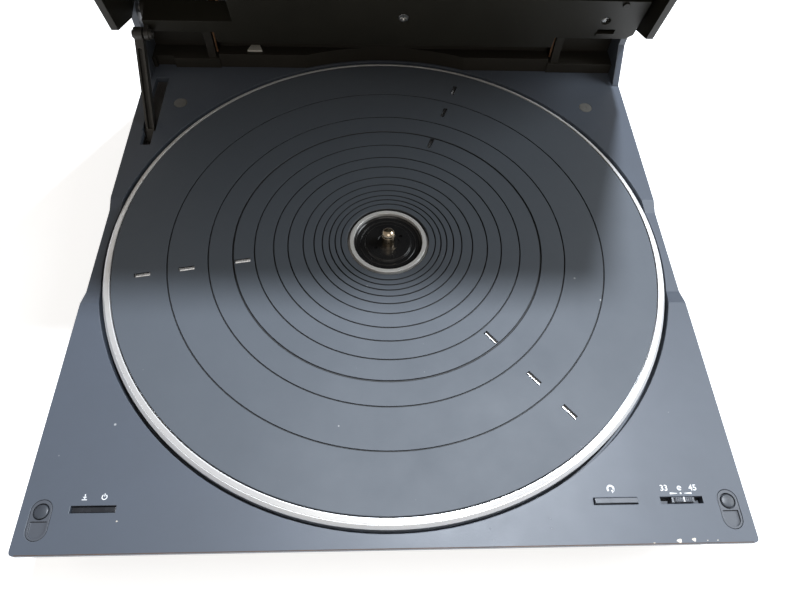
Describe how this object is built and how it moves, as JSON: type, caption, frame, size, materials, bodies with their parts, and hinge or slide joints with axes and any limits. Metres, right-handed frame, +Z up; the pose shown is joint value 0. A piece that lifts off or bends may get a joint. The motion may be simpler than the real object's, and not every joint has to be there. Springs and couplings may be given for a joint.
{
  "type": "turntable record player",
  "caption": "Compact direct-drive record player with a grooved platter mat, front buttons and a hinged lid that carries a linear-tracking arm.",
  "frame": {"origin": "on the spindle axis, at the height of the platter mat's top", "axes": "+Z up along the spindle, +X to the right, +Y to the rear, where the lid is hinged"},
  "size_m": [0.32, 0.335, 0.3885],
  "materials": {
    "deck_paint": "satin blue-grey paint",
    "case_black": "fine-textured black moulding",
    "lid_plastic": "near-black moulding with a warm tint",
    "rubber_black": "matt",
    "mat_rubber": "matt blue-grey rubber",
    "plug_grey": "light grey plug",
    "insert_plastic": "dark grey trim",
    "cast_aluminium": "turned and polished rim",
    "bright_ring": "polished",
    "gloss_black": "glossy",
    "spindle_metal": "polished, brass tinted",
    "steel": "ground steel",
    "bright_screw": "bright plated",
    "spring_copper": "copper-coloured wire",
    "magnet": "sintered",
    "copper": "enamelled copper wire",
    "board": "green laminate",
    "board_part": "black packages",
    "white_plastic": "translucent white",
    "button_black": "satin",
    "stay_metal": "dark channel section",
    "arm_metal": "satin anodised",
    "brass_sleeve": "turned",
    "belt_rubber": "matt",
    "stylus_red": "translucent red"
  },
  "bodies": {
    "base": {"deck": "deck_paint", "bottom_tray": "case_black", "case_screws": "steel", "feet": "rubber_black", "deck_plugs": "plug_grey", "insert_pads": "rubber_black", "corner_inserts": "insert_plastic", "rear_block": "case_black", "hinge_pins": "steel", "lid_springs": "spring_copper", "lid_sensor": "white_plastic", "stator_board": "board", "stator_coils": "copper", "bearing_housing": "brass_sleeve", "mains_inlet": "board_part", "phono_sockets": "bright_screw", "earth_terminal": "bright_screw", "transformer_core": "steel", "transformer_coil": "copper", "main_board": "board", "board_parts": "board_part", "heat_sink": "arm_metal", "switch_bodies": "board_part", "stay_guide": "steel", "stay_screw": "bright_screw", "cheek_left": "deck_paint", "cheek_right": "deck_paint"},
    "platter": {"platter": "cast_aluminium", "platter_mat": "mat_rubber", "size_windows": "bright_screw", "hub_ring": "bright_ring", "centre_disc": "gloss_black", "spindle": "spindle_metal", "rotor_magnet": "magnet"},
    "power_button": {"power_button": "button_black"},
    "repeat_button": {"repeat_button": "button_black"},
    "speed_slider": {"speed_slider": "button_black"},
    "lid": {"lid_shell": "lid_plastic", "control_board": "board", "arm_housing": "lid_plastic", "guide_rods": "steel", "arm_motor": "steel", "drive_belt": "belt_rubber", "housing_screws": "bright_screw", "sensor_lens": "bright_screw", "stay_bracket": "stay_metal"},
    "carriage": {"carriage": "board_part"},
    "tonearm": {"arm_tube": "arm_metal", "counterweight": "brass_sleeve", "headshell": "case_black", "cartridge": "board_part", "stylus": "stylus_red"},
    "motor_pulley": {"motor_pulley": "brass_sleeve"},
    "idler_pulley": {"idler_pulley": "white_plastic"},
    "lid_stay": {"lid_stay": "stay_metal"},
    "start_button": {"start_button": "button_black"},
    "cue_button": {"cue_button": "button_black"},
    "arm_left_button": {"arm_left_button": "button_black"},
    "arm_right_button": {"arm_right_button": "button_black"}
  },
  "joints": [
    {"name": "platter_spin", "type": "hinge", "parent": "base", "child": "platter", "pos_m": [0, 0, 0], "axis": [0, 0, 1], "continuous": true},
    {"name": "power_press", "type": "slide", "parent": "base", "child": "power_button", "axis": [0, 0, 1], "range_m": [-0.0006, 0.002]},
    {"name": "repeat_press", "type": "slide", "parent": "base", "child": "repeat_button", "axis": [0, 0, -1], "range_m": [0, 0.0016], "stiffness_N_per_m": 250, "springref_m": -0.0006},
    {"name": "speed_select", "type": "slide", "parent": "base", "child": "speed_slider", "axis": [1, 0, 0], "range_m": [-0.0033, 0.0033]},
    {"name": "lid_hinge", "type": "hinge", "parent": "base", "child": "lid", "pos_m": [0, 0.156, 0.035], "axis": [1, 0, 0], "range_deg": [0, 75]},
    {"name": "stay_pivot", "type": "hinge", "parent": "lid", "child": "lid_stay", "pos_m": [-0.151, 0.1245, 0.039], "axis": [1, 0, 0], "range_deg": [-112.5, 0]},
    {"name": "arm_tracking", "type": "slide", "parent": "lid", "child": "carriage", "axis": [1, 0, 0], "range_m": [-0.088, 0]},
    {"name": "arm_lift", "type": "hinge", "parent": "carriage", "child": "tonearm", "pos_m": [0.1444, 0.13658, 0.06499], "axis": [1, 0, 0], "range_deg": [0, 3.2]},
    {"name": "motor_pulley_spin", "type": "hinge", "parent": "lid", "child": "motor_pulley", "pos_m": [0.012, 0.14351, 0.0507], "axis": [0, 0.9659, 0.2588], "continuous": true},
    {"name": "idler_pulley_spin", "type": "hinge", "parent": "lid", "child": "idler_pulley", "pos_m": [0.137, 0.14351, 0.0507], "axis": [0, 0.9659, 0.2588], "continuous": true},
    {"name": "start_press", "type": "slide", "parent": "lid", "child": "start_button", "axis": [0, -0.9659, -0.2588], "range_m": [0, 0.0014], "stiffness_N_per_m": 250, "springref_m": -0.0006},
    {"name": "cue_press", "type": "slide", "parent": "lid", "child": "cue_button", "axis": [0, -0.9659, -0.2588], "range_m": [0, 0.0014], "stiffness_N_per_m": 250, "springref_m": -0.0006},
    {"name": "arm_left_press", "type": "slide", "parent": "lid", "child": "arm_left_button", "axis": [0, -0.9659, -0.2588], "range_m": [0, 0.0014], "stiffness_N_per_m": 250, "springref_m": -0.0006},
    {"name": "arm_right_press", "type": "slide", "parent": "lid", "child": "arm_right_button", "axis": [0, -0.9659, -0.2588], "range_m": [0, 0.0014], "stiffness_N_per_m": 250, "springref_m": -0.0006}
  ],
  "couplings": [
    {"joint": "stay_pivot", "follows": "lid_hinge", "ratio": -1.5},
    {"joint": "motor_pulley_spin", "follows": "arm_tracking", "rad_per_m": 281.69},
    {"joint": "idler_pulley_spin", "follows": "arm_tracking", "rad_per_m": 281.69}
  ]
}
